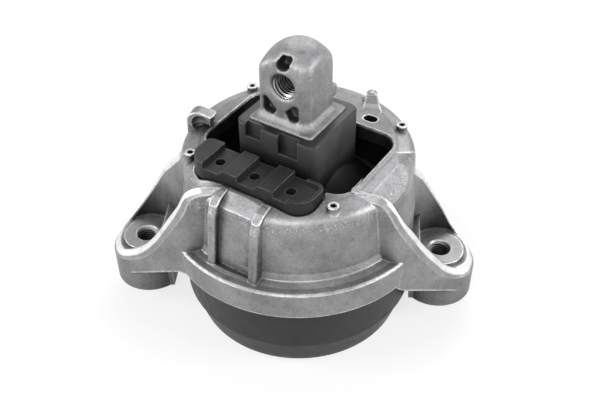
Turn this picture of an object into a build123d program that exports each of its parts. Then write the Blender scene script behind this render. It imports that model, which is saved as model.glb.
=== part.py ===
from build123d import *
from math import cos, radians, sin
import os

# Hydraulic engine mount. Millimetres, Z up along the drum's axis.
# The origin is the middle of the closing cup's bottom face.
# X runs through the two foot holes, and the front of the mount faces -Y.

# Feet and their threaded holes
FOOT_SPACING = 150.0
FOOT_SHIFT_X = -3.4
FOOT_Y = -1.9
FOOT_R = 18.0
FOOT_BOTTOM_Z = 9.5
FOOT_INNER_FLAT = 14.3
FOOT_FLAT_FRONT = 13.2

# Arms: angles at which the walls leave the feet, and where they end at the drum
RIGHT_FRONT_TURN = -51.6
RIGHT_BACK_TURN = 142.5
LEFT_FRONT_TURN = -122.9
LEFT_BACK_TURN = 39.1
ARM_KNUCKLE_X = 50.0
ARM_KNUCKLE_R = 12.0
ARM_FRONT_X = 33.0
ARM_FRONT_Y = -39.8
ARM_BACK_X = 50.0
ARM_HEAD_X = 7.3
ARM_HEAD_Y = 3.3
ARM_INNER_X = 30.0
ARM_INNER_Y = -10.0
ARM_UNDER_Z = 27.0
ARM_UNDER_SLOPE = 0.75
FOOT_BOLT_R = 5.0
FOOT_BOLT_MOUTH_R = 5.7
PAD_R = 12.2
PAD_Z = 34.6
CRESCENT_Z = 28.3
POCKET_Z = 24.0
POCKET_FRONT_Y = 2.0
WALL = 3.2
RIM_BEVEL = 2.7
RIGHT_RIM_LEAN = 6.7
LEFT_RIM_LEAN = 11.2

# Top edge of each arm: distance out from the drum's axis, and height
RIGHT_RIM = (
    (30.0, 97.3),
    (36.0, 97.3),
    (44.5, 96.2),
    (49.4, 91.0),
    (53.1, 84.0),
    (57.8, 74.6),
    (62.6, 63.6),
    (70.2, 48.5),
    (76.5, 37.8),
    (81.2, 33.0),
    (86.0, 30.3),
    (92.0, 29.2),
)
LEFT_RIM = (
    (30.0, 97.3),
    (41.0, 97.3),
    (49.0, 96.6),
    (53.2, 94.0),
    (56.6, 87.3),
    (60.8, 78.0),
    (65.4, 68.0),
    (71.9, 54.6),
    (79.6, 42.5),
    (84.9, 36.7),
    (89.5, 33.0),
    (93.5, 30.9),
    (99.0, 29.5),
)

# Drum and flange of the housing
FLANGE_R = 65.2
FLANGE_LOW_R = 64.7
FLANGE_LOW_Z = 45.8
FLANGE_TOP_Z = 60.6
DRUM_FOOT_R = 57.0
DRUM_FOOT_Z = 64.0
DRUM_TOP_R = 55.2
SHOULDER_Z = 89.5
DECK_EDGE_R = 51.0
DECK_EDGE_Z = 95.3
DECK_R = 45.5
DECK_Z = 97.0
DECK_UNDER_Z = 89.5

# Room inside the drum, and the skirt that the cup is pressed over
CAVITY_R = 52.0
CAVITY_BEND_Z = 72.0
CUP_R = 57.8
CUP_WALL = 1.8
CUP_GAP = 0.3
SKIRT_R = CUP_R - CUP_WALL - CUP_GAP
SKIRT_LOW_Z = 40.0

# Channel of each arm beside the drum
CHANNEL_SILL_Z = 49.0
CHANNEL_TOP_R = 54.2
CHANNEL_TOP_Z = 80.0
CHANNEL_EDGE_R = 48.6
CHANNEL_EDGE_Z = 95.2
STRIP_IN_U = 42.2
STRIP_OUT_U = 47.2
STRIP_LOW_Z = 95.2

# The window, the stop clip and the core are turned together about Z
TURN = -28.5
WINDOW_U = 79.0
WINDOW_V = 50.5
WINDOW_R = 9.0
WINDOW_SHIFT_V = 0.8

# Recess for the stop clip in the deck
CLIP_U_MIN = -31.0
CLIP_U_MAX = 32.0
CLIP_V_FRONT = -44.0
CLIP_V_BACK = -26.5
CLIP_LOW_Z = 100.4
CLIP_PAD_Z = 103.2
CLIP_UNDER_Z = 94.5
CLIP_FRONT_CORNER_R = 9.0
CLIP_BACK_CORNER_R = 4.0
CLIP_HOLE_R = 2.4
CLIP_PEG_R = 3.5
CLIP_PEG_LOW_Z = 88.0
CLIP_HOLE_PITCH = 18.9
CLIP_HOLE_V = -36.2
CLIP_HOLE_MIDDLE_U = 1.0
RECESS_FLOOR_Z = 93.0
RECESS_GAP = 0.7

# Oblong hole beside the right ear
DECK_HOLE_U = 19.9
DECK_HOLE_V = 33.4
DECK_HOLE_LENGTH = 7.0
DECK_HOLE_WIDTH = 4.8

# Flat panel and the two ribs on the front left of the drum
PANEL_LOW_V = -57.2
PANEL_TOP_V = -52.8
PANEL_BEND_Z = 91.5
PANEL_RIM_V = -46.2
PANEL_MIN_U = -8.5
PANEL_MAX_U = 14.0
RIB_WIDTH = 4.6
RIB_FOOT_V = -60.4
RIB_HEAD_V = -57.4
RIB_HEAD_Z = 88.0

# Hood on the left of the deck and post on its right
EAR_TURN = 168.0
EAR_IN_R = 41.2
EAR_RISE = 8.0
EAR_HALF = 3.2
EAR_SCOOP_R = 4.7
POST_X = 33.7
POST_Y = 35.4
POST_WIDTH = 5.4
POST_THICK = 3.0
POST_RISE = 4.6
POST_RAMP = 10.5

# Hollow spigots standing on the shoulder
SPIGOT_R = 2.6
SPIGOT_BORE_R = 1.4
SPIGOT_TOP_Z = 98.3
SPIGOT_LOW_Z = 84.0
SPIGOT_DEPTH = 6.0
SPIGOT_CIRCLE_R = 50.4
SPIGOT_ANGLES = (16.3, 122.0, 196.2, 291.8)

# Core
THREAD_Z = 132.6
THREAD_R = 6.0
THREAD_MOUTH_R = 6.6
TOWER_LEFT = 13.2
TOWER_RIGHT = 12.5
TOWER_DEPTH = 12.0
TOWER_TOP_Z = 151.5
DOME_R = 18.6
DOME_DROP = 12.1
DOME_SHIFT_U = 0.6
TOWER_FLARE = 2.6
PLATE_U = 33.8
PLATE_V = 31.0
PLATE_TOP_Z = 113.5
PLATE_LOW_Z = 106.0
STEM_LOW_Z = 84.0
STEM_TAPER = 12.0

# Rubber
BLOCK_U = 42.6
BLOCK_V = 39.8
BLOCK_TOP_Z = 112.6
BLOCK_LOW_Z = 80.0
BLOCK_CORNER_R = 4.5

# Steel ring bonded to the rubber
RING_LOW_Z = 36.0
SLEEVE_OUT_R = 51.5
SLEEVE_IN_R = 48.5
SLEEVE_TOP_Z = 56.0

# Closing cup
CUP_STEP_Z = 18.0
CUP_BODY_TOP_R = 56.4
CUP_BODY_LOW_R = 53.6
CUP_EDGE_R = 6.0
CUP_LEDGE_Z = 20.0
CUP_LEDGE_R = 53.6

# Divider and bellows
UPPER_TRACK_LOW_Z = 31.0
LOWER_TRACK_LOW_Z = 27.0
BEAD_LOW_Z = 25.0
TRACK_MIDDLE_R = 44.0
TRACK_WIDTH = 8.0
TRACK_DEPTH = 3.0
MEMBRANE_R = 21.0
MEMBRANE_THICK = 2.4
MEMBRANE_ROOM_R = 22.0
MEMBRANE_ROOM = 1.5
BELLOWS_WALL = 2.0
BELLOWS_RING_IN_R = 53.0


def turned(shape):
    """Turns a shape from the window's own frame into the mount's frame."""
    return Rot(0, 0, TURN) * shape


def spun(*points):
    """Solid of revolution about Z from a closed outline of radius and height."""
    return revolve(Plane.XZ * make_face(Polyline(*points, close=True)), Axis.Z)


def pillar(radius, low, high, x=0.0, y=0.0):
    """Upright round bar between two heights."""
    return Pos(x, y, low) * extrude(Circle(radius), high - low)


def block(u_range, v_range, z_range):
    """Box given by its limits along the three axes."""
    size = [high - low for low, high in (u_range, v_range, z_range)]
    middle = [(high + low) / 2 for low, high in (u_range, v_range, z_range)]
    return Pos(*middle) * Box(*size)


def swept_back(face, half):
    """Sweeps an upright outline from -half to half along Y."""
    return extrude(Plane.XZ.offset(half) * face, -2 * half)


def shoulder_arc(wall_r, wall_z, edge_r, edge_z):
    """Rounded shoulder from the drum wall up to the edge of the deck."""
    middle = (wall_r * 0.72 + edge_r * 0.28, wall_z * 0.32 + edge_z * 0.68)
    return ThreePointArc((wall_r, wall_z), middle, (edge_r, edge_z))


def drum_outside():
    """Outside of the drum with its flange, its skirt and its rounded shoulder."""
    lower = Polyline(
        (0, SKIRT_LOW_Z),
        (SKIRT_R, SKIRT_LOW_Z),
        (SKIRT_R, FLANGE_LOW_Z),
        (FLANGE_LOW_R, FLANGE_LOW_Z),
        (FLANGE_R, FLANGE_TOP_Z - 0.8),
        (FLANGE_R - 0.9, FLANGE_TOP_Z),
        (DRUM_FOOT_R + 4.6, FLANGE_TOP_Z + 0.5),
    )
    lower += Polyline(
        (DRUM_FOOT_R + 4.6, FLANGE_TOP_Z + 0.5),
        (DRUM_FOOT_R + 1.3, FLANGE_TOP_Z + 1.8),
        (DRUM_FOOT_R, FLANGE_TOP_Z + 5.0),
    )
    lower += Line((DRUM_FOOT_R, FLANGE_TOP_Z + 5.0), (DRUM_TOP_R, SHOULDER_Z))
    arc = shoulder_arc(DRUM_TOP_R, SHOULDER_Z, DECK_EDGE_R, DECK_EDGE_Z)
    upper = Polyline((DECK_EDGE_R, DECK_EDGE_Z), (DECK_R, DECK_Z), (0, DECK_Z), (0, SKIRT_LOW_Z))
    return revolve(Plane.XZ * make_face(lower + arc + upper), Axis.Z)


def channel_limit(side):
    """The drum as it stands inside an arm's channel, without its flange."""
    lower = Polyline((0, 0), (DRUM_FOOT_R, 0), (DRUM_FOOT_R, DRUM_FOOT_Z), (CHANNEL_TOP_R, CHANNEL_TOP_Z))
    arc = shoulder_arc(CHANNEL_TOP_R, CHANNEL_TOP_Z, CHANNEL_EDGE_R, CHANNEL_EDGE_Z)
    upper = Polyline((CHANNEL_EDGE_R, CHANNEL_EDGE_Z), (DECK_R, DECK_Z), (0, DECK_Z), (0, 0))
    drum = revolve(Plane.XZ * make_face(lower + arc + upper), Axis.Z)
    return drum & turned(channel_flat()) if side > 0 else drum


def channel_flat():
    """Everything behind the flat strip along the window's right side."""
    side = Polyline(
        (-70, 0),
        (62, 0),
        (58, 64),
        (STRIP_OUT_U + 6.4, STRIP_LOW_Z - 9.0),
        (STRIP_OUT_U, STRIP_LOW_Z),
        (STRIP_IN_U, DECK_Z),
        (-70, DECK_Z),
        close=True,
    )
    return extrude(Plane.XZ * make_face(side), 80, both=True)


def drum_cavity():
    """Room inside the drum."""
    return spun(
        (0, SKIRT_LOW_Z - 1),
        (CAVITY_R, SKIRT_LOW_Z - 1),
        (CAVITY_R, CAVITY_BEND_Z),
        (CAVITY_R - 3.0, DECK_UNDER_Z - 5.5),
        (CAVITY_R - 8.0, DECK_UNDER_Z),
        (0, DECK_UNDER_Z),
    )


def foot_x(side):
    return FOOT_SHIFT_X + side * FOOT_SPACING / 2


def wall_line(side, angle, root_x):
    """Touch point on the foot and far end of an arm wall that leaves it at an angle."""
    turn = radians(angle)
    x = foot_x(side) + FOOT_R * cos(turn)
    y = FOOT_Y + FOOT_R * sin(turn)
    run = (x - root_x) / sin(turn)
    return (x, y), (root_x, y + run * cos(turn))


def foot_round(side):
    """Round outline of a foot, with its seam turned towards the drum."""
    turn = 180 if side > 0 else 0
    return Pos(foot_x(side), FOOT_Y) * Rot(0, 0, turn) * Circle(FOOT_R)


def arm_plan(side, inset=0.0):
    """Plan of an arm: a round foot swept to the front and the back of the drum."""
    if side > 0:
        front_turn, back_turn = RIGHT_FRONT_TURN, RIGHT_BACK_TURN
    else:
        front_turn, back_turn = LEFT_FRONT_TURN, LEFT_BACK_TURN
    touch, knuckle = wall_line(side, front_turn, side * ARM_KNUCKLE_X)
    back_touch, back = wall_line(side, back_turn, side * ARM_BACK_X)
    outline = Polyline(
        touch,
        knuckle,
        (side * ARM_FRONT_X, ARM_FRONT_Y),
        (side * (ARM_FRONT_X - ARM_HEAD_X), ARM_FRONT_Y + ARM_HEAD_Y),
        (side * ARM_INNER_X, ARM_INNER_Y),
        back,
        back_touch,
        close=True,
    )
    wedge = make_face(outline)
    bend = wedge.vertices().sort_by_distance((*knuckle, 0))[0]
    sheet = foot_round(side) + fillet(bend, ARM_KNUCKLE_R)
    return offset(sheet, -inset) if inset else sheet


def foot_plan(side):
    """Plan of the foot's lower part, round outside and flat towards the cup."""
    flat_x = foot_x(side) - side * FOOT_INNER_FLAT
    touch, front = wall_line(side, RIGHT_FRONT_TURN if side > 0 else LEFT_FRONT_TURN, flat_x)
    outline = Polyline(
        touch,
        (flat_x, max(front[1], FOOT_Y - FOOT_FLAT_FRONT)),
        (flat_x, FOOT_Y),
        (foot_x(side), FOOT_Y),
        close=True,
    )
    beyond = Pos(flat_x + side * 30, FOOT_Y) * Rectangle(60, 80)
    return (foot_round(side) & beyond) + make_face(outline)


def arm_rim(side):
    """Everything under the curved top edge of an arm, swept across it."""
    lean, rim = (RIGHT_RIM_LEAN, RIGHT_RIM) if side > 0 else (LEFT_RIM_LEAN, LEFT_RIM)
    curve = Spline(*[(side * reach, height) for reach, height in rim])
    tail = Polyline(
        (side * rim[-1][0], rim[-1][1]),
        (side * 110, rim[-1][1]),
        (side * 110, 0),
        (side * rim[0][0], 0),
        (side * rim[0][0], rim[0][1]),
    )
    wedge = swept_back(make_face(curve + tail), 70)
    inner = side * (rim[0][0] + 1.0)
    core_side = block((min(0, inner), max(0, inner)), (-70, 70), (0, rim[0][1]))
    return Rot(0, 0, -side * lean) * (wedge + core_side)


def over_arm_slope(side):
    """Everything above the sloped underside of an arm."""
    foot = abs(foot_x(side))
    in_reach = foot - (FLANGE_LOW_Z - ARM_UNDER_Z) / ARM_UNDER_SLOPE
    out_reach = foot + FOOT_R
    out_z = ARM_UNDER_Z - ARM_UNDER_SLOPE * FOOT_R
    profile = Polyline(
        (0, FLANGE_LOW_Z),
        (side * in_reach, FLANGE_LOW_Z),
        (side * out_reach, out_z),
        (side * 110, out_z),
        (side * 110, 110),
        (0, 110),
        close=True,
    )
    return swept_back(make_face(profile), 70)


def foot_relief():
    """Room that the feet leave round the cup."""
    return pillar(CUP_R + 0.9, 0, FLANGE_LOW_Z)


def arm_solid(side):
    """One arm and its foot before the channel is opened."""
    rim = arm_rim(side)
    upper = extrude(arm_plan(side), 110) & over_arm_slope(side)
    foot = Pos(0, 0, FOOT_BOTTOM_Z) * extrude(foot_plan(side), 60)
    foot = chamfer(foot.edges().group_by(Axis.Z)[0], 1.2)
    relief = foot_relief()
    arm = ((upper - relief) & rim) + ((foot - relief) & rim)
    swept = [face for face in arm.faces() if face.geom_type == GeomType.EXTRUSION]
    top = max(swept, key=lambda face: face.area)
    edges = [edge for edge in top.edges() if edge.length > 15 and edge.center().Z < DECK_EDGE_Z]
    outer = [edge for edge in edges if edge.geom_type == GeomType.BSPLINE]
    return chamfer(outer, RIM_BEVEL)


def arm_channel(side):
    """Open channel in an arm, with the screw pad standing in it."""
    plan = arm_plan(side, WALL)
    wall_x = foot_x(side) - side * (FOOT_INNER_FLAT - WALL)
    beyond_wall = (wall_x, 120) if side > 0 else (-120, wall_x)
    in_foot = block(beyond_wall, (-60, 60), (0, 60))
    pad = pillar(PAD_R, 0, 60, foot_x(side), FOOT_Y)
    outer_x = (foot_x(side) - 2, 120) if side > 0 else (-120, foot_x(side) + 2)
    outer_end = block(outer_x, (-60, POCKET_FRONT_Y), (0, 60))
    behind_pad = block((-120, 120), (POCKET_FRONT_Y, 60), (0, 60))
    above_sill = Pos(0, 0, CHANNEL_SILL_Z) * extrude(plan, 60)
    above_pad = (Pos(0, 0, PAD_Z) * extrude(plan, 20)) & in_foot
    crescent = ((Pos(0, 0, CRESCENT_Z) * extrude(plan, 12)) & in_foot & outer_end) - pad
    pocket = ((Pos(0, 0, POCKET_Z) * extrude(plan, 15)) & in_foot & behind_pad) - pad
    return (above_sill + above_pad + crescent + pocket) - channel_limit(side)


def foot_bore(side):
    """Threaded hole of a foot at its nominal size, with a countersunk mouth."""
    x = foot_x(side)
    bore = pillar(FOOT_BOLT_R, FOOT_BOTTOM_Z - 1, PAD_Z + 1, x, FOOT_Y)
    depth = FOOT_BOLT_MOUTH_R - FOOT_BOLT_R
    mouth = spun((0, -depth), (FOOT_BOLT_R, -depth), (FOOT_BOLT_MOUTH_R + 0.5, 0.5), (0, 0.5))
    return bore + Pos(x, FOOT_Y, PAD_Z) * mouth


def window_cut():
    """Window in the deck round the rubber block, with a softened edge."""
    hole = extrude(RectangleRounded(WINDOW_U, WINDOW_V, WINDOW_R), 20)
    bevel = extrude(RectangleRounded(WINDOW_U, WINDOW_V, WINDOW_R), 1.0, taper=-40)
    hole = Pos(0, WINDOW_SHIFT_V, DECK_UNDER_Z - 5) * hole
    bevel = Pos(0, WINDOW_SHIFT_V, DECK_Z - 0.8) * bevel
    return hole + bevel


def clip_plan(grow=0.0):
    """Plan of the stop clip: wide corners at the front, small ones at the back."""
    width = CLIP_U_MAX - CLIP_U_MIN
    depth = CLIP_V_BACK - CLIP_V_FRONT
    middle = Pos((CLIP_U_MAX + CLIP_U_MIN) / 2, (CLIP_V_BACK + CLIP_V_FRONT) / 2)
    sheet = middle * Rectangle(width, depth)
    front_corners = sheet.vertices().group_by(Axis.Y)[0]
    sheet = fillet(front_corners, CLIP_FRONT_CORNER_R)
    back_corners = sheet.vertices().group_by(Axis.Y)[-1]
    sheet = fillet(back_corners, CLIP_BACK_CORNER_R)
    return offset(sheet, grow) if grow else sheet


def clip_hole_places():
    return [(CLIP_HOLE_MIDDLE_U + step * CLIP_HOLE_PITCH, CLIP_HOLE_V) for step in (-1, 0, 1)]


def clip_recess():
    """Sunk seat of the stop clip, open to the window, and its three peg holes."""
    seat = Pos(0, 0, RECESS_FLOOR_Z) * extrude(clip_plan(RECESS_GAP), 20)
    to_window = block((CLIP_U_MIN + 2, CLIP_U_MAX - 1), (-32, -20), (RECESS_FLOOR_Z, 115))
    cut = seat + to_window
    for u, v in clip_hole_places():
        cut += pillar(CLIP_PEG_R + CUP_GAP, DECK_UNDER_Z - 4, 100, u, v)
    return cut


def deck_hole():
    """Oblong hole through the deck at the foot of the right ear."""
    sheet = SlotOverall(DECK_HOLE_LENGTH, DECK_HOLE_WIDTH)
    return Pos(DECK_HOLE_U, DECK_HOLE_V, DECK_UNDER_Z - 3) * extrude(sheet, 20)


def panel_cut():
    """Flat on the drum between the two ribs, bent in to the rim of the recess."""
    side = Polyline(
        (PANEL_LOW_V, FLANGE_TOP_Z + 1.2),
        (PANEL_TOP_V, PANEL_BEND_Z),
        (PANEL_RIM_V, DECK_Z),
        (PANEL_RIM_V, 110),
        (-75, 110),
        (-75, FLANGE_TOP_Z + 1.2),
        close=True,
    )
    sheet = Plane.YZ * make_face(side)
    return Pos(PANEL_MIN_U, 0, 0) * extrude(sheet, PANEL_MAX_U - PANEL_MIN_U)


def rib(u):
    """Upright rib on the drum wall that bends in over the shoulder."""
    side = Polyline(
        (RIB_FOOT_V, FLANGE_TOP_Z - 2),
        (RIB_HEAD_V, RIB_HEAD_Z),
        (-55.4, 92.6),
        (-51.5, 95.6),
        (PANEL_RIM_V + 0.2, DECK_Z + 0.2),
        (PANEL_RIM_V + 0.2, 90),
        (-50, 80),
        (-54, FLANGE_TOP_Z - 2),
        close=True,
    )
    sheet = Plane.YZ * make_face(side)
    bar = Pos(u - RIB_WIDTH / 2, 0, 0) * extrude(sheet, RIB_WIDTH)
    long_edges = bar.edges().filter_by(Plane.YZ).filter_by(lambda e: e.center().Y < -55)
    return fillet(long_edges, 1.2)


def spigot(angle):
    """Cast spigot with a blind hole in its top."""
    x = SPIGOT_CIRCLE_R * cos(radians(angle))
    y = SPIGOT_CIRCLE_R * sin(radians(angle))
    return pillar(SPIGOT_R, SPIGOT_LOW_Z, SPIGOT_TOP_Z, x, y)


def spigot_bore(angle):
    x = SPIGOT_CIRCLE_R * cos(radians(angle))
    y = SPIGOT_CIRCLE_R * sin(radians(angle))
    return pillar(SPIGOT_BORE_R, SPIGOT_TOP_Z - SPIGOT_DEPTH, SPIGOT_TOP_Z + 1, x, y)


def left_ear():
    """Thin hood on the deck's left edge, hollowed from its front side."""
    out_r = DRUM_TOP_R - 0.8
    top = DECK_Z + EAR_RISE
    crown = Spline(
        (out_r, top - 5.5),
        (out_r - 1.4, top - 1.9),
        (out_r - 5.0, top),
        (out_r - 9.0, top - 0.6),
        (EAR_IN_R, top - 2.2),
    )
    rest = Polyline(
        (EAR_IN_R, top - 2.2),
        (EAR_IN_R + 2.5, DECK_Z - 1),
        (EAR_IN_R + 2.5, DECK_Z - 9),
        (out_r, DECK_Z - 9),
        (out_r, top - 5.5),
    )
    body = swept_back(make_face(crown + rest), EAR_HALF)
    scoop_x = (EAR_IN_R + out_r) / 2 - 0.4
    scoop = Pos(scoop_x, EAR_HALF + 0.6, top - 1.5 - EAR_SCOOP_R) * Sphere(EAR_SCOOP_R)
    return Rot(0, 0, EAR_TURN) * (body - scoop)


def right_ear():
    """Short post on the deck's right edge with a ramp down to the oblong hole."""
    half = POST_WIDTH / 2
    top = DECK_Z + POST_RISE
    crown = ThreePointArc((half, top - half * 0.8), (0, top), (-half, top - half * 0.8))
    rest = Polyline(
        (-half, top - half * 0.8),
        (-half, DECK_Z + 0.8),
        (-half - 4, DECK_Z - 0.6),
        (-half - 4, DECK_Z - 8),
        (half + 1, DECK_Z - 8),
        (half, DECK_Z),
        (half, top - half * 0.8),
    )
    post = Pos(POST_X, POST_Y, 0) * extrude(Plane.XZ * make_face(crown + rest), -POST_THICK)
    slope = Polyline(
        (0.5, DECK_Z - 2),
        (0.5, top - 1.0),
        (-1.5, top - 2.2),
        (-4.5, DECK_Z + 0.9),
        (-POST_RAMP, DECK_Z - 0.1),
        (-POST_RAMP, DECK_Z - 2),
        close=True,
    )
    plan = Polyline((-half, 0.5), (half, 0.5), (half * 2, -POST_RAMP), (-half * 2, -POST_RAMP), close=True)
    ramp = extrude(Plane.YZ * make_face(slope), 30, both=True) & extrude(make_face(plan), 120)
    return post + Pos(POST_X, POST_Y, 0) * ramp


def housing():
    """The cast housing."""
    body = drum_outside()
    body -= turned(panel_cut())
    body += turned(rib(PANEL_MIN_U)) + turned(rib(PANEL_MAX_U))
    for side in (-1, 1):
        body += arm_solid(side)
    for side in (-1, 1):
        body -= arm_channel(side)
        body += pillar(PAD_R, FOOT_BOTTOM_Z + 2, PAD_Z, foot_x(side), FOOT_Y)
        body -= foot_bore(side)
    for angle in SPIGOT_ANGLES:
        body += spigot(angle)
    body += left_ear() + right_ear()
    body -= drum_cavity()
    body -= turned(window_cut())
    body -= turned(clip_recess())
    body -= turned(deck_hole())
    for angle in SPIGOT_ANGLES:
        body -= spigot_bore(angle)
    # The window's cut leaves a crumb at the arm's flat head
    return max(body.solids(), key=lambda piece: piece.volume)


def tower_section():
    """Section of the core's tower, with one wide and three small cut corners."""
    return make_face(Polyline(
        (-TOWER_LEFT + 1.2, -TOWER_DEPTH),
        (TOWER_RIGHT - 3.5, -TOWER_DEPTH),
        (TOWER_RIGHT, -TOWER_DEPTH + 3.5),
        (TOWER_RIGHT, TOWER_DEPTH - 2.5),
        (TOWER_RIGHT - 2.5, TOWER_DEPTH),
        (-TOWER_LEFT + 2.5, TOWER_DEPTH),
        (-TOWER_LEFT, TOWER_DEPTH - 2.5),
        (-TOWER_LEFT, -TOWER_DEPTH + 1.2),
        close=True,
    ))


def dome():
    """Everything under the rounded head of the tower."""
    falls = ((0, 0), (0.227, 0.062), (0.459, 0.28), (0.616, 0.48), (0.778, 0.686), (1, 1))
    top = Spline(*[(reach * DOME_R, TOWER_TOP_Z - fall * DOME_DROP) for reach, fall in falls])
    low_z = PLATE_TOP_Z - 4
    sides = Polyline((DOME_R, TOWER_TOP_Z - DOME_DROP), (DOME_R, low_z), (0, low_z), (0, TOWER_TOP_Z))
    return Pos(DOME_SHIFT_U, 0, 0) * revolve(Plane.XZ * make_face(top + sides), Axis.Z)


def tower():
    """Tower of the core with its domed head and its flared foot."""
    bar = Pos(0, 0, PLATE_TOP_Z - 2) * extrude(tower_section(), TOWER_TOP_Z - PLATE_TOP_Z)
    flare_plan = offset(tower_section(), TOWER_FLARE, kind=Kind.INTERSECTION)
    flare = extrude(flare_plan, TOWER_FLARE - 0.2, taper=45)
    return (bar & dome()) + Pos(0, 0, PLATE_TOP_Z) * flare


def tower_pockets():
    """Three cored pockets in the front face of the tower."""
    left = [(-10.5, 117.0), (-10.5, 124.8), (-8.9, 125.0), (-3.6, 119.9), (-5.4, 116.5)]
    right = [(0.9, 119.8), (5.9, 124.6), (7.8, 124.4), (8.2, 118.3), (6.8, 116.2), (2.9, 116.2)]
    upper = [(-3.4, 143.4), (-1.4, 147.1), (3.8, 147.2), (3.2, 142.7), (0.6, 140.5), (-2.9, 140.6)]
    front = Plane.XZ.offset(TOWER_DEPTH + 1)
    cut = extrude(front * make_face(Polyline(*left, close=True)), -6)
    cut += extrude(front * make_face(Polyline(*right, close=True)), -6)
    cut += extrude(front * make_face(Polyline(*upper, close=True)), -8)
    return cut


def core_bore():
    """Threaded hole right through the tower at its nominal size."""
    depth = THREAD_MOUTH_R - THREAD_R
    mouth = spun((0, -depth), (THREAD_R, -depth), (THREAD_MOUTH_R + 0.5, 0.5), (0, 0.5))
    bore = pillar(THREAD_R, -2 * TOWER_DEPTH - 2, 1)
    return Pos(0, -TOWER_DEPTH, THREAD_Z) * Rot(90, 0, 0) * (bore + mouth)


def core_stem():
    """Plate and tapered stem that the rubber is bonded to."""
    plate = Pos(0, 0, PLATE_LOW_Z) * extrude(RectangleRounded(PLATE_U, PLATE_V, 1.6), PLATE_TOP_Z - PLATE_LOW_Z)
    stem = extrude(RectangleRounded(26, 24, 3.5), PLATE_LOW_Z - STEM_LOW_Z, taper=STEM_TAPER)
    return plate + Pos(0, 0, PLATE_LOW_Z) * Rot(180, 0, 0) * stem


def core():
    """The cast core."""
    lug = block((8.5, 12.5), (TOWER_DEPTH - 3, TOWER_DEPTH + 2.2), (119.5, 125.5))
    lug = fillet(lug.edges().group_by(Axis.Y)[-1], 1.2)
    body = core_stem() + tower() + lug
    body -= tower_pockets()
    body -= core_bore()
    return turned(body)


def rubber_spring():
    """Rubber block round the core's plate and the cone down to the steel ring."""
    tall = BLOCK_TOP_Z - BLOCK_LOW_Z
    cube = Pos(0, 0, BLOCK_LOW_Z) * extrude(RectangleRounded(BLOCK_U, BLOCK_V, BLOCK_CORNER_R), tall)
    cube = fillet(cube.edges().group_by(Axis.Z)[-1], 1.0)
    for u_range, low_z in (((-15.5, -7.0), 106.0), ((2.0, 12.5), 103.0)):
        cube -= block(u_range, (-BLOCK_V, -BLOCK_V / 2 + 2.6), (low_z, 120))
    cone = spun(
        (0, 90),
        (19.5, 90),
        (23.5, 85),
        (SLEEVE_IN_R, SLEEVE_TOP_Z - 1),
        (SLEEVE_IN_R, RING_LOW_Z + 1),
        (44, RING_LOW_Z + 1),
        (38, 48),
        (14, 70),
        (0, 70),
    )
    return (turned(cube) + cone) - turned(core_stem())


def spring_ring():
    """Steel ring with a sleeve for the rubber and a rim clamped under the skirt."""
    return spun(
        (SLEEVE_IN_R, RING_LOW_Z),
        (SKIRT_R, RING_LOW_Z),
        (SKIRT_R, SKIRT_LOW_Z),
        (SLEEVE_OUT_R, SKIRT_LOW_Z),
        (SLEEVE_OUT_R, SLEEVE_TOP_Z),
        (SLEEVE_IN_R, SLEEVE_TOP_Z),
    )


def stop_clip():
    """Moulded stop clip with its pads, holes and pegs."""
    plan = clip_plan()
    body = Pos(0, 0, CLIP_UNDER_Z) * extrude(plan, CLIP_LOW_Z - CLIP_UNDER_Z)
    first = CLIP_HOLE_MIDDLE_U - CLIP_HOLE_PITCH - 4.2
    teeth = Polyline(
        (CLIP_U_MIN - 1, CLIP_LOW_Z - 1),
        (CLIP_U_MIN - 1, CLIP_PAD_Z),
        (first, CLIP_PAD_Z),
        (first, CLIP_LOW_Z),
        (first + 8.4, CLIP_LOW_Z),
        (first + 11.0, CLIP_PAD_Z),
        (first + CLIP_HOLE_PITCH, CLIP_PAD_Z),
        (first + CLIP_HOLE_PITCH, CLIP_LOW_Z),
        (first + CLIP_HOLE_PITCH + 8.4, CLIP_LOW_Z),
        (first + CLIP_HOLE_PITCH + 11.0, CLIP_PAD_Z),
        (first + 2 * CLIP_HOLE_PITCH, CLIP_PAD_Z),
        (first + 2 * CLIP_HOLE_PITCH, CLIP_LOW_Z - 1),
        close=True,
    )
    pads = extrude(Plane.XZ * make_face(teeth), 60, both=True)
    pads &= Pos(0, 0, CLIP_LOW_Z - 2) * extrude(plan, 10)
    rim = Pos(0, 0, CLIP_LOW_Z - 1) * extrude(plan - offset(plan, -1.6), 2.4)
    rim &= block((22.5, 40), (-60, -26), (90, 110))
    seat_plan = offset(plan, -2.0)
    seats = Pos(0, 0, RECESS_FLOOR_Z) * extrude(seat_plan, 3)
    seats &= block((-29, -23), (-42, -29), (90, 96)) + block((24, 30), (-42, -29), (90, 96))
    body += pads + rim + seats
    for u, v in clip_hole_places():
        body += pillar(CLIP_PEG_R, CLIP_PEG_LOW_Z, CLIP_LOW_Z - 1, u, v)
    for u, v in clip_hole_places():
        body -= pillar(CLIP_HOLE_R, CLIP_PEG_LOW_Z - 1, CLIP_PAD_Z + 1, u, v)
    return turned(body)


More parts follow.
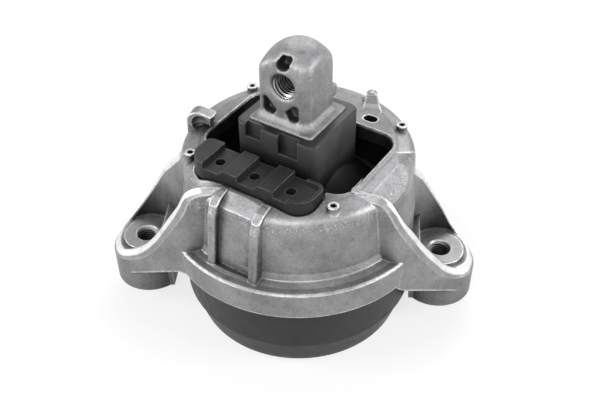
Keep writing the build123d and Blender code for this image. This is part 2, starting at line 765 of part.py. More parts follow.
def lower_cup():
    """Painted cup that closes the mount from below."""
    inner = CUP_R - CUP_WALL
    cup = spun(
        (0, 0),
        (CUP_BODY_LOW_R - CUP_EDGE_R, 0),
        (CUP_BODY_LOW_R - CUP_EDGE_R * 0.55, 0.6),
        (CUP_BODY_LOW_R - CUP_EDGE_R * 0.18, 2.6),
        (CUP_BODY_LOW_R, CUP_EDGE_R),
        (CUP_BODY_TOP_R, CUP_STEP_Z - 1.0),
        (CUP_R, CUP_STEP_Z),
        (CUP_R, FLANGE_LOW_Z),
        (inner, FLANGE_LOW_Z),
        (inner, CUP_LEDGE_Z),
        (CUP_LEDGE_R, CUP_LEDGE_Z),
        (CUP_LEDGE_R - 0.6, CUP_STEP_Z - 2),
        (CUP_BODY_LOW_R - 2.4, CUP_EDGE_R + 1),
        (CUP_BODY_LOW_R - 5.5, 2.6),
        (CUP_BODY_LOW_R - 8.0, 2.0),
        (0, 2.0),
    )
    return cup


def track_ring(low, high):
    """Ring-shaped room of the fluid track between two heights, not quite closed."""
    half = TRACK_WIDTH / 2
    ring = pillar(TRACK_MIDDLE_R + half, low, high) - pillar(TRACK_MIDDLE_R - half, low, high)
    return ring - block((TRACK_MIDDLE_R - 8, TRACK_MIDDLE_R + 8), (-3, 3), (low, high))


def grid_holes(low, high):
    """Holes that let the fluid reach the membrane."""
    holes = pillar(2.6, low, high)
    for step in range(6):
        angle = radians(60 * step)
        holes += pillar(2.6, low, high, 11 * cos(angle), 11 * sin(angle))
    return holes


def upper_track_plate():
    """Upper half of the divider, with the track cut into its underside."""
    plate = pillar(SKIRT_R, UPPER_TRACK_LOW_Z, RING_LOW_Z)
    plate -= track_ring(UPPER_TRACK_LOW_Z, UPPER_TRACK_LOW_Z + TRACK_DEPTH)
    plate -= pillar(MEMBRANE_ROOM_R, UPPER_TRACK_LOW_Z, UPPER_TRACK_LOW_Z + MEMBRANE_ROOM)
    plate -= grid_holes(UPPER_TRACK_LOW_Z, RING_LOW_Z)
    port = block((40.5, 43.5), (4, 12), (UPPER_TRACK_LOW_Z, RING_LOW_Z))
    return plate - port


def lower_track_plate():
    """Lower half of the divider, with the seat of the membrane."""
    plate = pillar(SKIRT_R, LOWER_TRACK_LOW_Z, UPPER_TRACK_LOW_Z)
    plate -= pillar(MEMBRANE_ROOM_R, UPPER_TRACK_LOW_Z - MEMBRANE_ROOM, UPPER_TRACK_LOW_Z)
    plate -= grid_holes(LOWER_TRACK_LOW_Z, UPPER_TRACK_LOW_Z)
    port = block((41, 45), (-12, -4), (LOWER_TRACK_LOW_Z, UPPER_TRACK_LOW_Z))
    return plate - port


def decoupler_membrane():
    """Loose rubber disc that lies in the room between the divider's halves."""
    low = UPPER_TRACK_LOW_Z - MEMBRANE_ROOM
    return pillar(MEMBRANE_R, low, low + MEMBRANE_THICK)


def bellows():
    """Folded rubber diaphragm with its clamped bead."""
    wall = BELLOWS_WALL
    rim_r = SKIRT_R - 0.5
    neck_r = BELLOWS_RING_IN_R - 2.5
    return spun(
        (0, 5),
        (16, 5),
        (24, 12),
        (30, 14),
        (36, 12),
        (40, 6),
        (45, 6),
        (49, 11),
        (neck_r, BEAD_LOW_Z),
        (rim_r, BEAD_LOW_Z),
        (rim_r, LOWER_TRACK_LOW_Z),
        (neck_r - wall, LOWER_TRACK_LOW_Z),
        (49 - wall, 12),
        (44, 6 + wall),
        (41, 6 + wall),
        (37, 13.6),
        (30, 14 + wall),
        (23, 13.6),
        (15, 5 + wall),
        (0, 5 + wall),
    )


def bellows_ring():
    """Spacer that carries the bellows' bead on the cup's inner step."""
    return pillar(SKIRT_R, CUP_LEDGE_Z, BEAD_LOW_Z) - pillar(BELLOWS_RING_IN_R, CUP_LEDGE_Z, BEAD_LOW_Z)


PIECES = {
    "housing": housing,
    "core": core,
    "rubber_spring": rubber_spring,
    "spring_ring": spring_ring,
    "stop_clip": stop_clip,
    "lower_cup": lower_cup,
    "upper_track_plate": upper_track_plate,
    "lower_track_plate": lower_track_plate,
    "decoupler_membrane": decoupler_membrane,
    "bellows": bellows,
    "bellows_ring": bellows_ring,
}

os.makedirs("parts", exist_ok=True)
for name, build in PIECES.items():
    shape = build()
    print(name, len(shape.solids()), round(shape.volume, 1))
    export_step(shape, "parts/" + name + ".step")
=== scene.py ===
import bpy
from math import cos, hypot, pi, radians, sin
from mathutils import Matrix, Vector


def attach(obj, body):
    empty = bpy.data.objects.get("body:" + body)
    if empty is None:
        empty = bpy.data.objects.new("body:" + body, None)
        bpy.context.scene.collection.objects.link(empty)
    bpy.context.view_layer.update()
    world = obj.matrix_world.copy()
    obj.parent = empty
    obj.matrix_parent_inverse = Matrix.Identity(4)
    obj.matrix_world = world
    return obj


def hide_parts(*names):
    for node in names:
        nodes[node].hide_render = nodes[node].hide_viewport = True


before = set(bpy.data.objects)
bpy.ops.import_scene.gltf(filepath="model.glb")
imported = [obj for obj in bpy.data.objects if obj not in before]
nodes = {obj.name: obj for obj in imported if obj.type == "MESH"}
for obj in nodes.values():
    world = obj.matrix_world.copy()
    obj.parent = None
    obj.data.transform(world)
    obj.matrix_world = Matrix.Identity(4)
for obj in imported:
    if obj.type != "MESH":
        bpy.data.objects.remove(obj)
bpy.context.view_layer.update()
scene = bpy.context.scene

# Camera, fitted to the photograph
CAMERA_POS = Vector((0.0281, -0.3262, 0.3407))
CAMERA_AZIMUTH = radians(4.81)
CAMERA_ELEVATION = radians(40.59)
CAMERA_ROLL = radians(-0.43)
CAMERA_LENS = 52.3
CAMERA_SENSOR = 36.0
CAMERA_NEAR = 0.01
CAMERA_FAR = 20.0

# Light of the world on the part
WORLD_LIGHT = 0.385
# Floor: half its side, how far it lies below the part, and its paint
FLOOR_HALF = 3.0
FLOOR_DROP = 0.0004
FLOOR_GREY = 0.9
FLOOR_ROUGHNESS = 0.9
# The floor's own share of white near the part, and the distances over which it becomes whole
FLOOR_GLOW = 0.7
FLOOR_FAR = (0.35, 0.9)

# Soft lamps: name, place, size and power, and the point they are turned to
LAMPS = (
    ("front_top", (-0.12, -0.98, 0.82), 0.50, 6.5),
    ("back_top", (0.20, 0.85, 0.85), 0.90, 6.5),
    ("left", (-1.05, -0.25, 0.50), 0.50, 9.0),
    ("right", (1.10, -0.25, 0.50), 0.50, 10.0),
)
LAMP_TARGET = (0, 0, 0.08)

# Turn of the core and the window about Z
TURN = radians(-28.5)

# Threaded holes of the feet and of the core
LEFT_FOOT_X = -0.0784
RIGHT_FOOT_X = 0.0716
FOOT_Y = -0.0019
FOOT_THREAD_Z = 0.0221
EYE_Z = 0.1326
# Their threads: radius, pitch and length
FOOT_THREAD = (0.005, 0.0015, 0.0234)
EYE_THREAD = (0.006, 0.00175, 0.0215)

# Ridge of a thread, in pitches: half its root, half its crest, and its depth
RIDGE_ROOT = 0.46
RIDGE_CREST = 0.11
RIDGE_DEPTH = 0.54
# How far its root lies in the wall
RIDGE_SUNK = 0.00012
# Its steps in one turn, those in which it runs out at an end, and the least share of its width
RIDGE_STEPS = 28
RIDGE_END_STEPS = 14.0
RIDGE_END_WIDTH = 0.1
# Corners of one step of a thread or a ramp
CORNERS = 4

# Ground between screw pad and rim round each foot: its walls, underside, lowest top and steps
RAMP_INNER = 0.0119
RAMP_OUTER = 0.0151
RAMP_BOTTOM = 0.0275
RAMP_LOW = 0.0314
RAMP_STEPS = 36
# Ramps: name, the foot's place, first and last angle, height reached, share of the way that climbs
RAMPS = (
    ("right_foot_front_ramp", RIGHT_FOOT_X, 0, -97, 0.0338, 1.0),
    ("right_foot_back_ramp", RIGHT_FOOT_X, 0, 138, 0.0340, 0.4),
    ("left_foot_front_ramp", LEFT_FOOT_X, 180, 277, 0.0338, 1.0),
    ("left_foot_back_ramp", LEFT_FOOT_X, 180, 42, 0.0340, 0.4),
)

# Casting of the core: grid of its skin, passes that soften its edges and passes that round its head
CORE_VOXEL = 0.00055
CORE_SOFTENING = 9
HEAD_ROUNDING = 120
SMOOTH_FACTOR = 0.5
# Where the head's rounding starts, and the two openings that keep their edges (across, up, reach)
HEAD_LOW = 0.1375
HEAD_FADE = 0.005
KEPT_SHARP = ((0.0001, 0.1440, 0.0048), (0.0, EYE_Z, 0.0074))
SHARP_FADE = 0.0030

# Upper edge of each arm's walls: distance out from the drum's axis, and height
RIGHT_RIM = (
    (0.0300, 0.0973), (0.0360, 0.0973), (0.0445, 0.0962), (0.0494, 0.0910),
    (0.0531, 0.0840), (0.0578, 0.0746), (0.0626, 0.0636), (0.0702, 0.0485),
    (0.0765, 0.0378), (0.0812, 0.0330), (0.0860, 0.0303), (0.0920, 0.0292),
)
LEFT_RIM = (
    (0.0300, 0.0973), (0.0410, 0.0973), (0.0490, 0.0966), (0.0532, 0.0940),
    (0.0566, 0.0873), (0.0608, 0.0780), (0.0654, 0.0680), (0.0719, 0.0546),
    (0.0796, 0.0425), (0.0849, 0.0367), (0.0895, 0.0330), (0.0935, 0.0309),
    (0.0990, 0.0295),
)
# Arms: side, lean, upper edge and the foot's place
ARMS = (
    (1, radians(6.7), RIGHT_RIM, RIGHT_FOOT_X),
    (-1, radians(11.2), LEFT_RIM, LEFT_FOOT_X),
)
# Length that the whole side of a curve's field stands for
CURVE_FIELD = 0.1

# Part of a rim brightened partly by wear and partly as painted highlight, each with where it starts
# and is full: height above the rim's edge, distance from the drum's axis, distance from the foot's
# axis, and distance out on the arm
RIM_WEAR_AND_HIGHLIGHT = (-0.0022, -0.0013)
RIM_OFF_DRUM = (0.0535, 0.0575)
RIM_OFF_PAD = (0.0140, 0.0146)
RIM_ON_ARM = (0.045, 0.048)

# Heights and rings in which a look holds: it starts, is full, starts to end, and has ended
# DECK_LEVEL and PLATE_LEVEL bound painted shade: on the deck's top and on the core's plate
DECK_LEVEL = (0.0964, 0.0968, 0.0972, 0.0978)
PLATE_LEVEL = (-0.0004, 0.0, 0.1142, 0.1148)
# PAD_RING and PAD_LEVEL mark the screw pads, kept free of the painted hollow shade
PAD_RING = (0.0045, 0.0048, 0.0146, 0.0152)
PAD_LEVEL = (0.0310, 0.0325, 0.0347, 0.0350)
# SHOULDER_LEVEL bounds the painted glints on the shoulder's bend
SHOULDER_LEVEL = (0.0860, 0.0890, 0.0905, 0.0935)
# Where the shoulder's painted glints start, and where the deck counts as open and gets no painted
# hollow shade
SHOULDER_OUTSIDE = (0.0500, 0.0520)
DECK_OPEN = (0.0968, 0.0976)
# How open a screw pad counts as, which lifts the painted hollow shade off it
PAD_OPEN = 0.92

# Noises: scale, detail and roughness
WAVES = (130.0, 3.0, 0.5)
PITS = (700.0, 5.0, 0.7)
# Patterns, a noise between two stops: the noise, the lower stop and the upper stop
CLOUD = ((45.0, 5.0, 0.62), 0.36, 0.64)
DULLNESS = ((300.0, 4.0, 0.65), 0.3, 0.7)
MOTTLE = ((70.0, 4.0, 0.6), 0.35, 0.66)
GLOSS = ((210.0, 4.0, 0.6), 0.3, 0.7)
# Patterns with the values they run between
GRAIN = (((1100.0, 4.0, 0.75), 0.34, 0.62), 0.74, 1.0)
SPOTS = (((380.0, 3.0, 0.6), 0.30, 0.44), 0.80, 1.0)
STAINS = (((75.0, 6.0, 0.7), 0.40, 0.58), 0.78, 1.0)
WEAR_AND_HIGHLIGHT_PATCHES = (((230.0, 4.0, 0.7), 0.34, 0.58), 0.25, 1.0)
RIM_SCUFF_AND_HIGHLIGHT_PATCHES = (((260.0, 4.0, 0.7), 0.30, 0.50), 0.55, 1.0)
SHOULDER_GLINTS = (((1000.0, 3.0, 0.7), 0.55, 0.64), 0.0, 0.42)
EDGE_PATCHES = (((300.0, 4.0, 0.7), 0.36, 0.60), 0.1, 1.0)
# Detail and roughness of a moulded grain
MOULDED_GRAIN = (4.0, 0.65)
# How far the gloss of moulded pieces goes below and above its middle
GLOSS_BELOW = 0.06
GLOSS_ABOVE = 0.08

# Edges: width, and the dot product of true and rounded normal on an edge and on an open face
CAST_EDGE = (0.0016, 0.90, 0.992)
MOULDED_EDGE = (0.0007, 0.90, 0.985)
# Painted shade in hollows: how far they are felt, and how open the darkest hollow and an open face
# are
HOLLOW_REACH = 0.045
CAST_HOLLOW = (0.35, 0.88)
MOULDED_HOLLOW = (0.30, 0.85)
# Tone of the painted shade left in the darkest hollow of a moulded piece
MOULDED_DEEP = 0.12
# Inner corners, where edges get neither wear nor painted highlight: reach, share of it left, and
# how open as above
CAST_CORNER = (0.004, 0.0, 0.70, 0.92)
MOULDED_CORNER = (0.003, 0.0, 0.70, 0.92)

# Bumps: strength and depth
WAVE_BUMP = (0.25, 0.0006)
PIT_BUMP = (0.5, 0.00025)
MOULDED_BUMP_DEPTH = 0.0002

# Cast metal: how metallic it is, and how rough it is on edges and rims brightened by wear and
# painted highlight
CAST_METALLIC = 0.9
RUBBED_ROUGHNESS = 0.34
# Smooth crown of the rubber: how far below its top it starts and is full, its tone and roughness
CROWN_START = 0.0009
CROWN_FULL = 0.0003
CROWN_TONE = 0.012
CROWN_ROUGHNESS = 0.36
# Blue of a grey against its red and green
BLUISH = 1.02
# Samples of the rounded normal and of the openness
EDGE_SAMPLES = 6
HOLLOW_SAMPLES = 8


class Nodes:
    """Short way to add and join shader nodes in one material."""

    def __init__(self, name):
        self.material = bpy.data.materials.new(name)
        self.material.use_nodes = True
        self.tree = self.material.node_tree
        self.shader = self.tree.nodes["Principled BSDF"]
        self.place = self.add("ShaderNodeTexCoord").outputs["Object"]

    def add(self, kind, **values):
        node = self.tree.nodes.new(kind)
        for key, value in values.items():
            setattr(node, key, value)
        return node

    def link(self, source, target):
        self.tree.links.new(source, target)

    def feed(self, socket, value):
        """Join a socket to another one, or set it to a colour or a number."""
        if isinstance(value, bpy.types.NodeSocket):
            self.link(value, socket)
        elif isinstance(value, tuple):
            socket.default_value = (*value, 1.0)
        else:
            socket.default_value = value

    def noise(self, scale, detail, roughness):
        node = self.add("ShaderNodeTexNoise")
        node.inputs["Scale"].default_value = scale
        node.inputs["Detail"].default_value = detail
        node.inputs["Roughness"].default_value = roughness
        self.link(self.place, node.inputs["Vector"])
        return node.outputs["Fac"]

    def ramp(self, source, *stops):
        """Colour or number that runs between two stops, each a position and a value."""
        node = self.add("ShaderNodeValToRGB")
        for element, (position, value) in zip(node.color_ramp.elements, stops):
            element.position = position
            colour = (value, value, value) if isinstance(value, float) else value
            element.color = (*colour, 1.0)
        self.link(source, node.inputs["Fac"])
        return node.outputs["Color"]

    def pattern(self, kind, first, second):
        """Runs from first to second as a noise runs between two stops."""
        noise, low, high = kind
        return self.ramp(self.noise(*noise), (low, first), (high, second))

    def mix(self, factor, first, second, blend="MIX"):
        node = self.add("ShaderNodeMix", data_type="RGBA", blend_type=blend)
        self.feed(node.inputs[0], factor)
        self.feed(node.inputs[6], first)
        self.feed(node.inputs[7], second)
        return node.outputs[2]

    def darken(self, colour, by):
        return self.mix(1.0, colour, by, "MULTIPLY")

    def bump(self, height, strength, distance, below):
        node = self.add("ShaderNodeBump")
        node.inputs["Strength"].default_value = strength
        node.inputs["Distance"].default_value = distance
        self.link(height, node.inputs["Height"])
        self.link(below, node.inputs["Normal"])
        return node.outputs["Normal"]

    def soft_edges(self, radius):
        node = self.add("ShaderNodeBevel", samples=EDGE_SAMPLES)
        node.inputs["Radius"].default_value = radius
        return node.outputs["Normal"]

    def edge_mask(self, width, full, none):
        """1 on edges and corners, 0 on open faces."""
        face = self.add("ShaderNodeNewGeometry")
        dot = self.add("ShaderNodeVectorMath", operation="DOT_PRODUCT")
        self.link(face.outputs["Normal"], dot.inputs[0])
        self.link(self.soft_edges(width), dot.inputs[1])
        return self.ramp(dot.outputs["Value"], (full, 1.0), (none, 0.0))

    def hollow_mask(self, reach, deep, closed, open_face):
        """Low in deep hollows, 1 on open faces."""
        node = self.add("ShaderNodeAmbientOcclusion", samples=HOLLOW_SAMPLES)
        node.inputs["Distance"].default_value = reach
        return self.ramp(node.outputs["AO"], (closed, deep), (open_face, 1.0))

    def math(self, operation, first, second=0.0):
        node = self.add("ShaderNodeMath", operation=operation)
        self.feed(node.inputs[0], first)
        self.feed(node.inputs[1], second)
        return node.outputs[0]

    def times(self, first, second):
        return self.math("MULTIPLY", first, second)

    def minus(self, first, second):
        return self.math("SUBTRACT", first, second)

    def larger(self, first, second):
        return self.math("MAXIMUM", first, second)

    def fade(self, value, low, high):
        """0 below low, 1 above high, smooth between."""
        node = self.add("ShaderNodeMapRange", interpolation_type="SMOOTHSTEP")
        node.inputs["From Min"].default_value = low
        node.inputs["From Max"].default_value = high
        self.link(value, node.inputs["Value"])
        return node.outputs["Result"]

    def band(self, value, start, full, full_end, end):
        """1 from full to full_end, 0 before start and after end."""
        return self.minus(self.fade(value, start, full), self.fade(value, full_end, end))

    def curve(self, value, points):
        """Height of a curve at a value, the curve given by its points."""
        node = self.add("ShaderNodeFloatCurve")
        line = node.mapping.curves[0]
        placed = [(reach / CURVE_FIELD, rise / CURVE_FIELD) for reach, rise in points]
        line.points[0].location = placed[0]
        line.points[-1].location = placed[-1]
        for reach, rise in placed[1:-1]:
            line.points.new(reach, rise)
        node.mapping.update()
        self.link(self.math("DIVIDE", value, CURVE_FIELD), node.inputs["Value"])
        return self.times(node.outputs["Value"], CURVE_FIELD)

    def split(self):
        node = self.add("ShaderNodeSeparateXYZ")
        self.link(self.place, node.inputs[0])
        return node.outputs

    def distance(self, x, y):
        return self.math("SQRT", self.math("ADD", self.times(x, x), self.times(y, y)))

    def off_foot(self, x, y, foot_x):
        """Distance from the axis of a foot's hole."""
        return self.distance(self.minus(x, foot_x), self.minus(y, FOOT_Y))

    def rim_mask(self, x, y, z):
        """1 on the upper edge of each arm's walls."""
        outside = self.fade(self.distance(x, y), *RIM_OFF_DRUM)
        total = None
        for side, lean, rim, foot_x in ARMS:
            reach = self.minus(self.times(x, side * cos(lean)), self.times(y, sin(lean)))
            below = self.minus(z, self.curve(reach, rim))
            near = self.times(self.fade(below, *RIM_WEAR_AND_HIGHLIGHT), outside)
            near = self.times(near, self.fade(self.off_foot(x, y, foot_x), *RIM_OFF_PAD))
            near = self.times(near, self.fade(reach, *RIM_ON_ARM))
            total = near if total is None else self.larger(total, near)
        return total


def cast_metal(name, dark, light, wear_and_highlight, edge_radius, rough, deep, painted_shade_band, painted_shade_strength, rims=False):
    """Raw die-cast aluminium: mottled skin, fine grain, painted shade in hollows, and brighter
    edges, partly from rubbing and partly painted highlight.

    painted_shade_band is the level band that gets painted shade, and painted_shade_strength says
    by how much. rims adds what only the housing has: pads and deck freed of the painted hollow
    shade, rims brightened partly by rubbing and partly as painted highlight, and painted glints
    on the shoulder."""
    m = Nodes(name)
    x, y, height = m.split()
    skin = m.pattern(CLOUD, dark, light)
    for blotches in (GRAIN, SPOTS, STAINS):
        skin = m.darken(skin, m.pattern(*blotches))
    # Painted shade: ambient occlusion darkens the base colour in hollows
    hollow = m.hollow_mask(HOLLOW_REACH, deep, *CAST_HOLLOW)
    if rims:
        # The deck and the screw pads are kept free of the painted shade
        hollow = m.larger(hollow, m.fade(height, *DECK_OPEN))
        for foot_x in (RIGHT_FOOT_X, LEFT_FOOT_X):
            ring = m.band(m.off_foot(x, y, foot_x), *PAD_RING)
            pad = m.times(ring, m.band(height, *PAD_LEVEL))
            hollow = m.larger(hollow, m.times(pad, PAD_OPEN))
    skin = m.darken(skin, hollow)
    # Painted shade: the level band's base colour is darkened towards black
    skin = m.mix(m.times(m.band(height, *painted_shade_band), painted_shade_strength), skin, (0.0, 0.0, 0.0))
    # Edges brighten, partly as rubbing wear and partly as painted highlight; the rims below
    # likewise
    open_edge = m.times(hollow, m.hollow_mask(*CAST_CORNER))
    edge = m.times(m.edge_mask(*CAST_EDGE), open_edge)
    rubbed_and_highlit = m.times(edge, m.pattern(*WEAR_AND_HIGHLIGHT_PATCHES))
    if rims:
        rim_wear_and_highlight = m.times(m.rim_mask(x, y, height), m.pattern(*RIM_SCUFF_AND_HIGHLIGHT_PATCHES))
        rubbed_and_highlit = m.larger(rubbed_and_highlit, rim_wear_and_highlight)
        # Painted glints: bright specks on the bend of the shoulder
        outside = m.fade(m.distance(x, y), *SHOULDER_OUTSIDE)
        bend = m.times(m.band(height, *SHOULDER_LEVEL), outside)
        rubbed_and_highlit = m.larger(rubbed_and_highlit, m.times(bend, m.pattern(*SHOULDER_GLINTS)))
    # Base colour: the skin lightened towards the colour of wear and painted highlight
    m.link(m.mix(rubbed_and_highlit, skin, wear_and_highlight), m.shader.inputs["Base Color"])
    m.shader.inputs["Metallic"].default_value = CAST_METALLIC
    dullness = m.pattern(DULLNESS, *rough)
    m.link(m.mix(rubbed_and_highlit, dullness, (RUBBED_ROUGHNESS,) * 3), m.shader.inputs["Roughness"])
    waves = m.bump(m.noise(*WAVES), *WAVE_BUMP, m.soft_edges(edge_radius))
    pits = m.bump(m.noise(*PITS), *PIT_BUMP, waves)
    m.link(pits, m.shader.inputs["Normal"])
    return m.material


def moulded(name, dark, light, roughness, grain, grain_size, radius=0.0004, metallic=0.0,
            shine=0.5, scuff_and_highlight=None, top=None, hollows=False):
    """Rubber, plastic, paint or steel: a faint mottle, uneven gloss and a fine grain.

    scuff_and_highlight is the colour of edges lightened partly by scuffs and partly as painted
    highlight, top the height of a smooth, dark crown, and hollows paints shade on what lies deep."""
    m = Nodes(name)
    colour = m.pattern(MOTTLE, dark, light)
    rough = m.pattern(GLOSS, roughness - GLOSS_BELOW, roughness + GLOSS_ABOVE)
    # Painted shade: ambient occlusion darkens the colour in hollows
    if hollows:
        colour = m.darken(colour, m.hollow_mask(HOLLOW_REACH, MOULDED_DEEP, *MOULDED_HOLLOW))
    if top:
        crown = m.fade(m.split()[2], top - CROWN_START, top - CROWN_FULL)
        colour = m.mix(crown, colour, (CROWN_TONE,) * 3)
        rough = m.mix(crown, rough, (CROWN_ROUGHNESS,) * 3)
    # Edges lighten, partly as scuffs and partly as painted highlight
    if scuff_and_highlight:
        open_edge = m.times(m.edge_mask(*MOULDED_EDGE), m.hollow_mask(*MOULDED_CORNER))
        wear_and_highlight = m.times(open_edge, m.pattern(*EDGE_PATCHES))
        colour = m.mix(wear_and_highlight, colour, scuff_and_highlight)
    m.link(colour, m.shader.inputs["Base Color"])
    m.link(rough, m.shader.inputs["Roughness"])
    m.shader.inputs["Metallic"].default_value = metallic
    m.shader.inputs["Specular IOR Level"].default_value = shine
    fine = m.noise(grain_size, *MOULDED_GRAIN)
    normal = m.bump(fine, grain, MOULDED_BUMP_DEPTH, m.soft_edges(radius))
    m.link(normal, m.shader.inputs["Normal"])
    return m.material


def dress(node, material):
    nodes[node].data.materials.clear()
    nodes[node].data.materials.append(material)


def grey(low, high):
    """Dark and light end of a faintly bluish grey."""
    return (low, low, low * BLUISH), (high, high, high * BLUISH)


def core_skin():
    # Core: painted shade in hollows and on its plate, edges brightened partly as wear and partly as
    # painted highlight
    return cast_metal(
        "cast_core", *grey(0.30, 0.37), wear_and_highlight=(0.46, 0.46, 0.47), edge_radius=0.0012,
        rough=(0.48, 0.62), deep=0.26, painted_shade_band=PLATE_LEVEL, painted_shade_strength=0.22)


def dress_all():
    """A skin for each solid of the frame, the hidden ones too."""
    # Housing: painted shade in hollows and on the deck, edges and rims brightened partly as wear
    # and partly as painted highlight, painted glints on the shoulder
    dress("housing", cast_metal(
        "cast_housing", *grey(0.27, 0.35), wear_and_highlight=(0.78, 0.78, 0.79), edge_radius=0.0009,
        rough=(0.38, 0.54), deep=0.16, painted_shade_band=DECK_LEVEL, painted_shade_strength=0.32, rims=True))
    dress("core", core_skin())
    # Spring rubber: painted shade in its hollows, edges lightened partly as scuffs and partly as
    # painted highlight
    dress("rubber_spring", moulded(
        "spring_rubber", *grey(0.036, 0.056), roughness=0.58, grain=0.3, grain_size=900.0,
        radius=0.0008, shine=0.35, scuff_and_highlight=(0.10, 0.10, 0.10), top=0.1126, hollows=True))
    # Stop clip: edges lightened partly as scuffs and partly as painted highlight
    dress("stop_clip", moulded(
        "clip_plastic", *grey(0.010, 0.017), roughness=0.50, grain=0.25, grain_size=1200.0,
        shine=0.25, scuff_and_highlight=(0.13, 0.13, 0.13)))
    dress("lower_cup", moulded(
        "cup_paint", *grey(0.016, 0.020), roughness=0.46, grain=0.12, grain_size=1500.0,
        radius=0.0006, shine=0.3))
    for name in ("spring_ring", "bellows_ring"):
        dress(name, moulded(
            name + "_steel", *grey(0.36, 0.48), roughness=0.38, grain=0.15, grain_size=1500.0,
            metallic=1.0))
    for name in ("upper_track_plate", "lower_track_plate"):
        dress(name, moulded(
            name + "_metal", *grey(0.42, 0.54), roughness=0.40, grain=0.15, grain_size=1500.0,
            metallic=1.0))
    for name in ("decoupler_membrane", "bellows"):
        dress(name, moulded(
            name + "_rubber", *grey(0.024, 0.034), roughness=0.55, grain=0.25, grain_size=900.0))


def new_object(name, data):
    made = bpy.data.objects.new(name, data)
    scene.collection.objects.link(made)
    return made


def new_body(name, points, faces):
    mesh = bpy.data.meshes.new(name)
    mesh.from_pydata(points, [], faces)
    mesh.validate()
    return new_object(name, mesh)


def add_smoothing(piece, name, passes):
    smoothing = piece.modifiers.new(name, "SMOOTH")
    smoothing.factor = SMOOTH_FACTOR
    smoothing.iterations = passes
    return smoothing


def head_weight(place):
    """Hold of the head's rounding on a point, given in the core's own directions."""
    weight = min(1.0, (place.z - HEAD_LOW) / HEAD_FADE)
    if place.y < 0:
        for across, up, reach in KEPT_SHARP:
            off_opening = hypot(place.x - across, place.z - up) - reach
            weight = min(weight, off_opening / SHARP_FADE)
    return weight


def cast_core():
    """The core with the blended edges and the round head of a casting, in place of its solid."""
    sharp = nodes["core"].data.copy()
    sharp.name = "core_casting"
    piece = new_object("core_casting", sharp)
    remesh = piece.modifiers.new("even_skin", "REMESH")
    remesh.mode = "VOXEL"
    remesh.voxel_size = CORE_VOXEL
    remesh.use_smooth_shade = True
    add_smoothing(piece, "soft_edges", CORE_SOFTENING)
    bpy.context.view_layer.update()
    evaluated = piece.evaluated_get(bpy.context.evaluated_depsgraph_get())
    cast = bpy.data.meshes.new_from_object(evaluated)
    cast.name = "core_casting"
    piece.modifiers.clear()
    piece.data = cast
    bpy.data.meshes.remove(sharp)
    head = piece.vertex_groups.new(name="head")
    turned = Matrix.Rotation(-TURN, 3, "Z")
    for vertex in cast.vertices:
        weight = head_weight(turned @ vertex.co)
        if weight > 0.0:
            head.add([vertex.index], weight, "REPLACE")
    add_smoothing(piece, "round_head", HEAD_ROUNDING).vertex_group = "head"
    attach(piece, "root")
    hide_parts("core")
    piece.data.materials.clear()
    piece.data.materials.append(core_skin())


def thread(name, middle, along, radius, pitch, length):
    """Ridge of a thread that winds inwards from a hole's wall, with closed ends."""
    along = Vector(along).normalized()
    across = along.orthogonal().normalized()
    third = along.cross(across)
    root = radius + RIDGE_SUNK
    crest = radius - RIDGE_DEPTH * pitch
    section = (
        (root, -RIDGE_ROOT * pitch),
        (crest, -RIDGE_CREST * pitch),
        (crest, RIDGE_CREST * pitch),
        (root, RIDGE_ROOT * pitch),
    )
    count = int(length / pitch * RIDGE_STEPS)
    points = []
    for step in range(count + 1):
        angle = 2 * pi * step / RIDGE_STEPS
        fade = min(1.0, step / RIDGE_END_STEPS, (count - step) / RIDGE_END_STEPS)
        outwards = across * cos(angle) + third * sin(angle)
        rise = pitch * step / RIDGE_STEPS - length / 2
        for reach, offset in section:
            reach = root - (root - reach) * fade
            height = rise + offset * max(fade, RIDGE_END_WIDTH)
            points.append(Vector(middle) + outwards * reach + along * height)
    faces = []
    for step in range(count):
        here, beyond = step * CORNERS, (step + 1) * CORNERS
        for side in range(CORNERS):
            other = (side + 1) % CORNERS
            faces.append((here + side, here + other, beyond + other, beyond + side))
    faces.append((3, 2, 1, 0))
    last = count * CORNERS
    faces.append((last, last + 1, last + 2, last + 3))
    ridge = new_body(name, points, faces)
    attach(ridge, "root")
    return ridge


def foot_ramp(name, middle_x, start, end, high, climb):
    """Ground of the casting that climbs between the screw pad and the rim round a foot."""
    points = []
    for step in range(RAMP_STEPS + 1):
        share = step / RAMP_STEPS
        angle = radians(start + (end - start) * share)
        rise = min(1.0, share / climb)
        top = RAMP_LOW + (high - RAMP_LOW) * rise * rise * (3 - 2 * rise)
        section = (
            (RAMP_INNER, RAMP_BOTTOM),
            (RAMP_OUTER, RAMP_BOTTOM),
            (RAMP_OUTER, top),
            (RAMP_INNER, top),
        )
        for reach, height in section:
            x = middle_x + reach * cos(angle)
            y = FOOT_Y + reach * sin(angle)
            points.append((x, y, height))
    last = RAMP_STEPS * CORNERS
    faces = [(0, 1, 2, 3), (last + 3, last + 2, last + 1, last)]
    for step in range(RAMP_STEPS):
        here, beyond = step * CORNERS, (step + 1) * CORNERS
        for side in range(CORNERS):
            other = (side + 1) % CORNERS
            faces.append((here + side, beyond + side, beyond + other, here + other))
    ramp = new_body(name, points, faces)
    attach(ramp, "root")
    ramp.data.materials.append(nodes["housing"].data.materials[0])


def make_threads():
    """Thread turns of the two foot holes and of the hole through the core."""
    # The thread turns get painted shade in the hole
    cut = moulded(
        "thread_cut", *grey(0.42, 0.54), roughness=0.30, grain=0.1, grain_size=1800.0,
        radius=0.00005, metallic=1.0, hollows=True)
    for name, x in (("left_foot_thread", LEFT_FOOT_X), ("right_foot_thread", RIGHT_FOOT_X)):
        ridge = thread(name, (x, FOOT_Y, FOOT_THREAD_Z), (0, 0, 1), *FOOT_THREAD)
        ridge.data.materials.append(cut)
    along = (sin(TURN), -cos(TURN), 0)
    ridge = thread("core_thread_turns", (0, 0, EYE_Z), along, *EYE_THREAD)
    ridge.data.materials.append(cut)


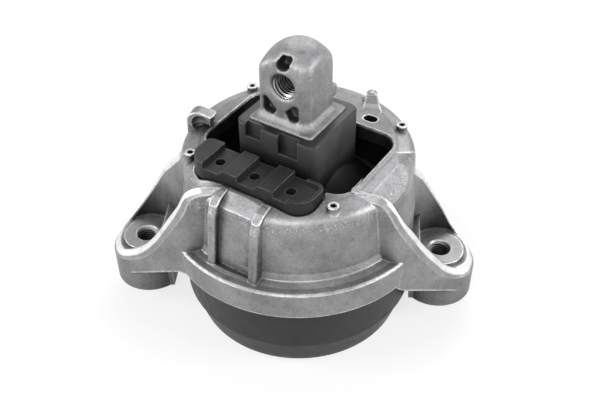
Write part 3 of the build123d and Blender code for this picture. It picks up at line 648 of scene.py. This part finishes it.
def make_camera():
    """Camera in the place and with the lens that were fitted to the photograph."""
    back = Vector((
        sin(CAMERA_AZIMUTH) * cos(CAMERA_ELEVATION),
        -cos(CAMERA_AZIMUTH) * cos(CAMERA_ELEVATION),
        sin(CAMERA_ELEVATION),
    ))
    right = Vector((cos(CAMERA_AZIMUTH), sin(CAMERA_AZIMUTH), 0))
    up = back.cross(right)
    right_rolled = right * cos(CAMERA_ROLL) + up * sin(CAMERA_ROLL)
    up_rolled = up * cos(CAMERA_ROLL) - right * sin(CAMERA_ROLL)
    data = bpy.data.cameras.new("camera")
    data.lens = CAMERA_LENS
    data.sensor_width = CAMERA_SENSOR
    data.sensor_fit = "HORIZONTAL"
    data.clip_start = CAMERA_NEAR
    data.clip_end = CAMERA_FAR
    camera = new_object("camera", data)
    turn = Matrix((right_rolled, up_rolled, back)).transposed()
    camera.matrix_world = Matrix.Translation(CAMERA_POS) @ turn.to_4x4()
    scene.camera = camera


def lamp(name, place, size, power):
    """Square soft lamp that is turned to the mount."""
    data = bpy.data.lights.new(name, "AREA")
    data.energy = power
    data.size = size
    light = new_object(name, data)
    light.location = place
    light.rotation_mode = "QUATERNION"
    light.rotation_quaternion = (Vector(LAMP_TARGET) - Vector(place)).to_track_quat("-Z", "Y")


def seen_rays(tree):
    """1 for rays that show the background: straight to the camera, mirrored or let through."""
    paths = tree.nodes.new("ShaderNodeLightPath")
    value = paths.outputs["Is Camera Ray"]
    for name in ("Is Glossy Ray", "Is Transmission Ray"):
        either = tree.nodes.new("ShaderNodeMath")
        either.operation = "MAXIMUM"
        tree.links.new(value, either.inputs[0])
        tree.links.new(paths.outputs[name], either.inputs[1])
        value = either.outputs[0]
    return value


def make_world():
    """Plain grey light all round, and white where it is seen."""
    world = bpy.data.worlds.new("studio")
    scene.world = world
    world.use_nodes = True
    tree = world.node_tree
    background = tree.nodes["Background"]
    mix = tree.nodes.new("ShaderNodeMix")
    mix.data_type = "FLOAT"
    mix.inputs[2].default_value = WORLD_LIGHT
    mix.inputs[3].default_value = 1.0
    tree.links.new(seen_rays(tree), mix.inputs[0])
    tree.links.new(mix.outputs[0], background.inputs["Strength"])
    background.inputs["Color"].default_value = (1, 1, 1, 1)


def make_floor():
    """Pale floor that looks nearly white and still takes the mount's shadow."""
    half = FLOOR_HALF
    corners = [(-half, -half, 0), (half, -half, 0), (half, half, 0), (-half, half, 0)]
    floor = new_body("floor", corners, [(0, 1, 2, 3)])
    floor.location.z = -FLOOR_DROP
    m = Nodes("floor_white")
    m.shader.inputs["Base Color"].default_value = (FLOOR_GREY, FLOOR_GREY, FLOOR_GREY, 1)
    m.shader.inputs["Roughness"].default_value = FLOOR_ROUGHNESS
    x, y, _ = m.split()
    glow = m.larger(m.fade(m.distance(x, y), *FLOOR_FAR), FLOOR_GLOW)
    white = m.add("ShaderNodeEmission")
    white.inputs["Strength"].default_value = 1.0
    mixer = m.add("ShaderNodeMixShader")
    m.link(m.times(seen_rays(m.tree), glow), mixer.inputs[0])
    m.link(m.shader.outputs[0], mixer.inputs[1])
    m.link(white.outputs[0], mixer.inputs[2])
    output = m.tree.nodes["Material Output"]
    m.link(mixer.outputs[0], output.inputs["Surface"])
    floor.data.materials.append(m.material)


make_camera()
make_world()
make_floor()
dress_all()
cast_core()
for name, foot_x, start, end, high, climb in RAMPS:
    foot_ramp(name, foot_x, start, end, high, climb)
make_threads()
for name, place, size, power in LAMPS:
    lamp(name, place, size, power)
scene.view_settings.view_transform = "Standard"
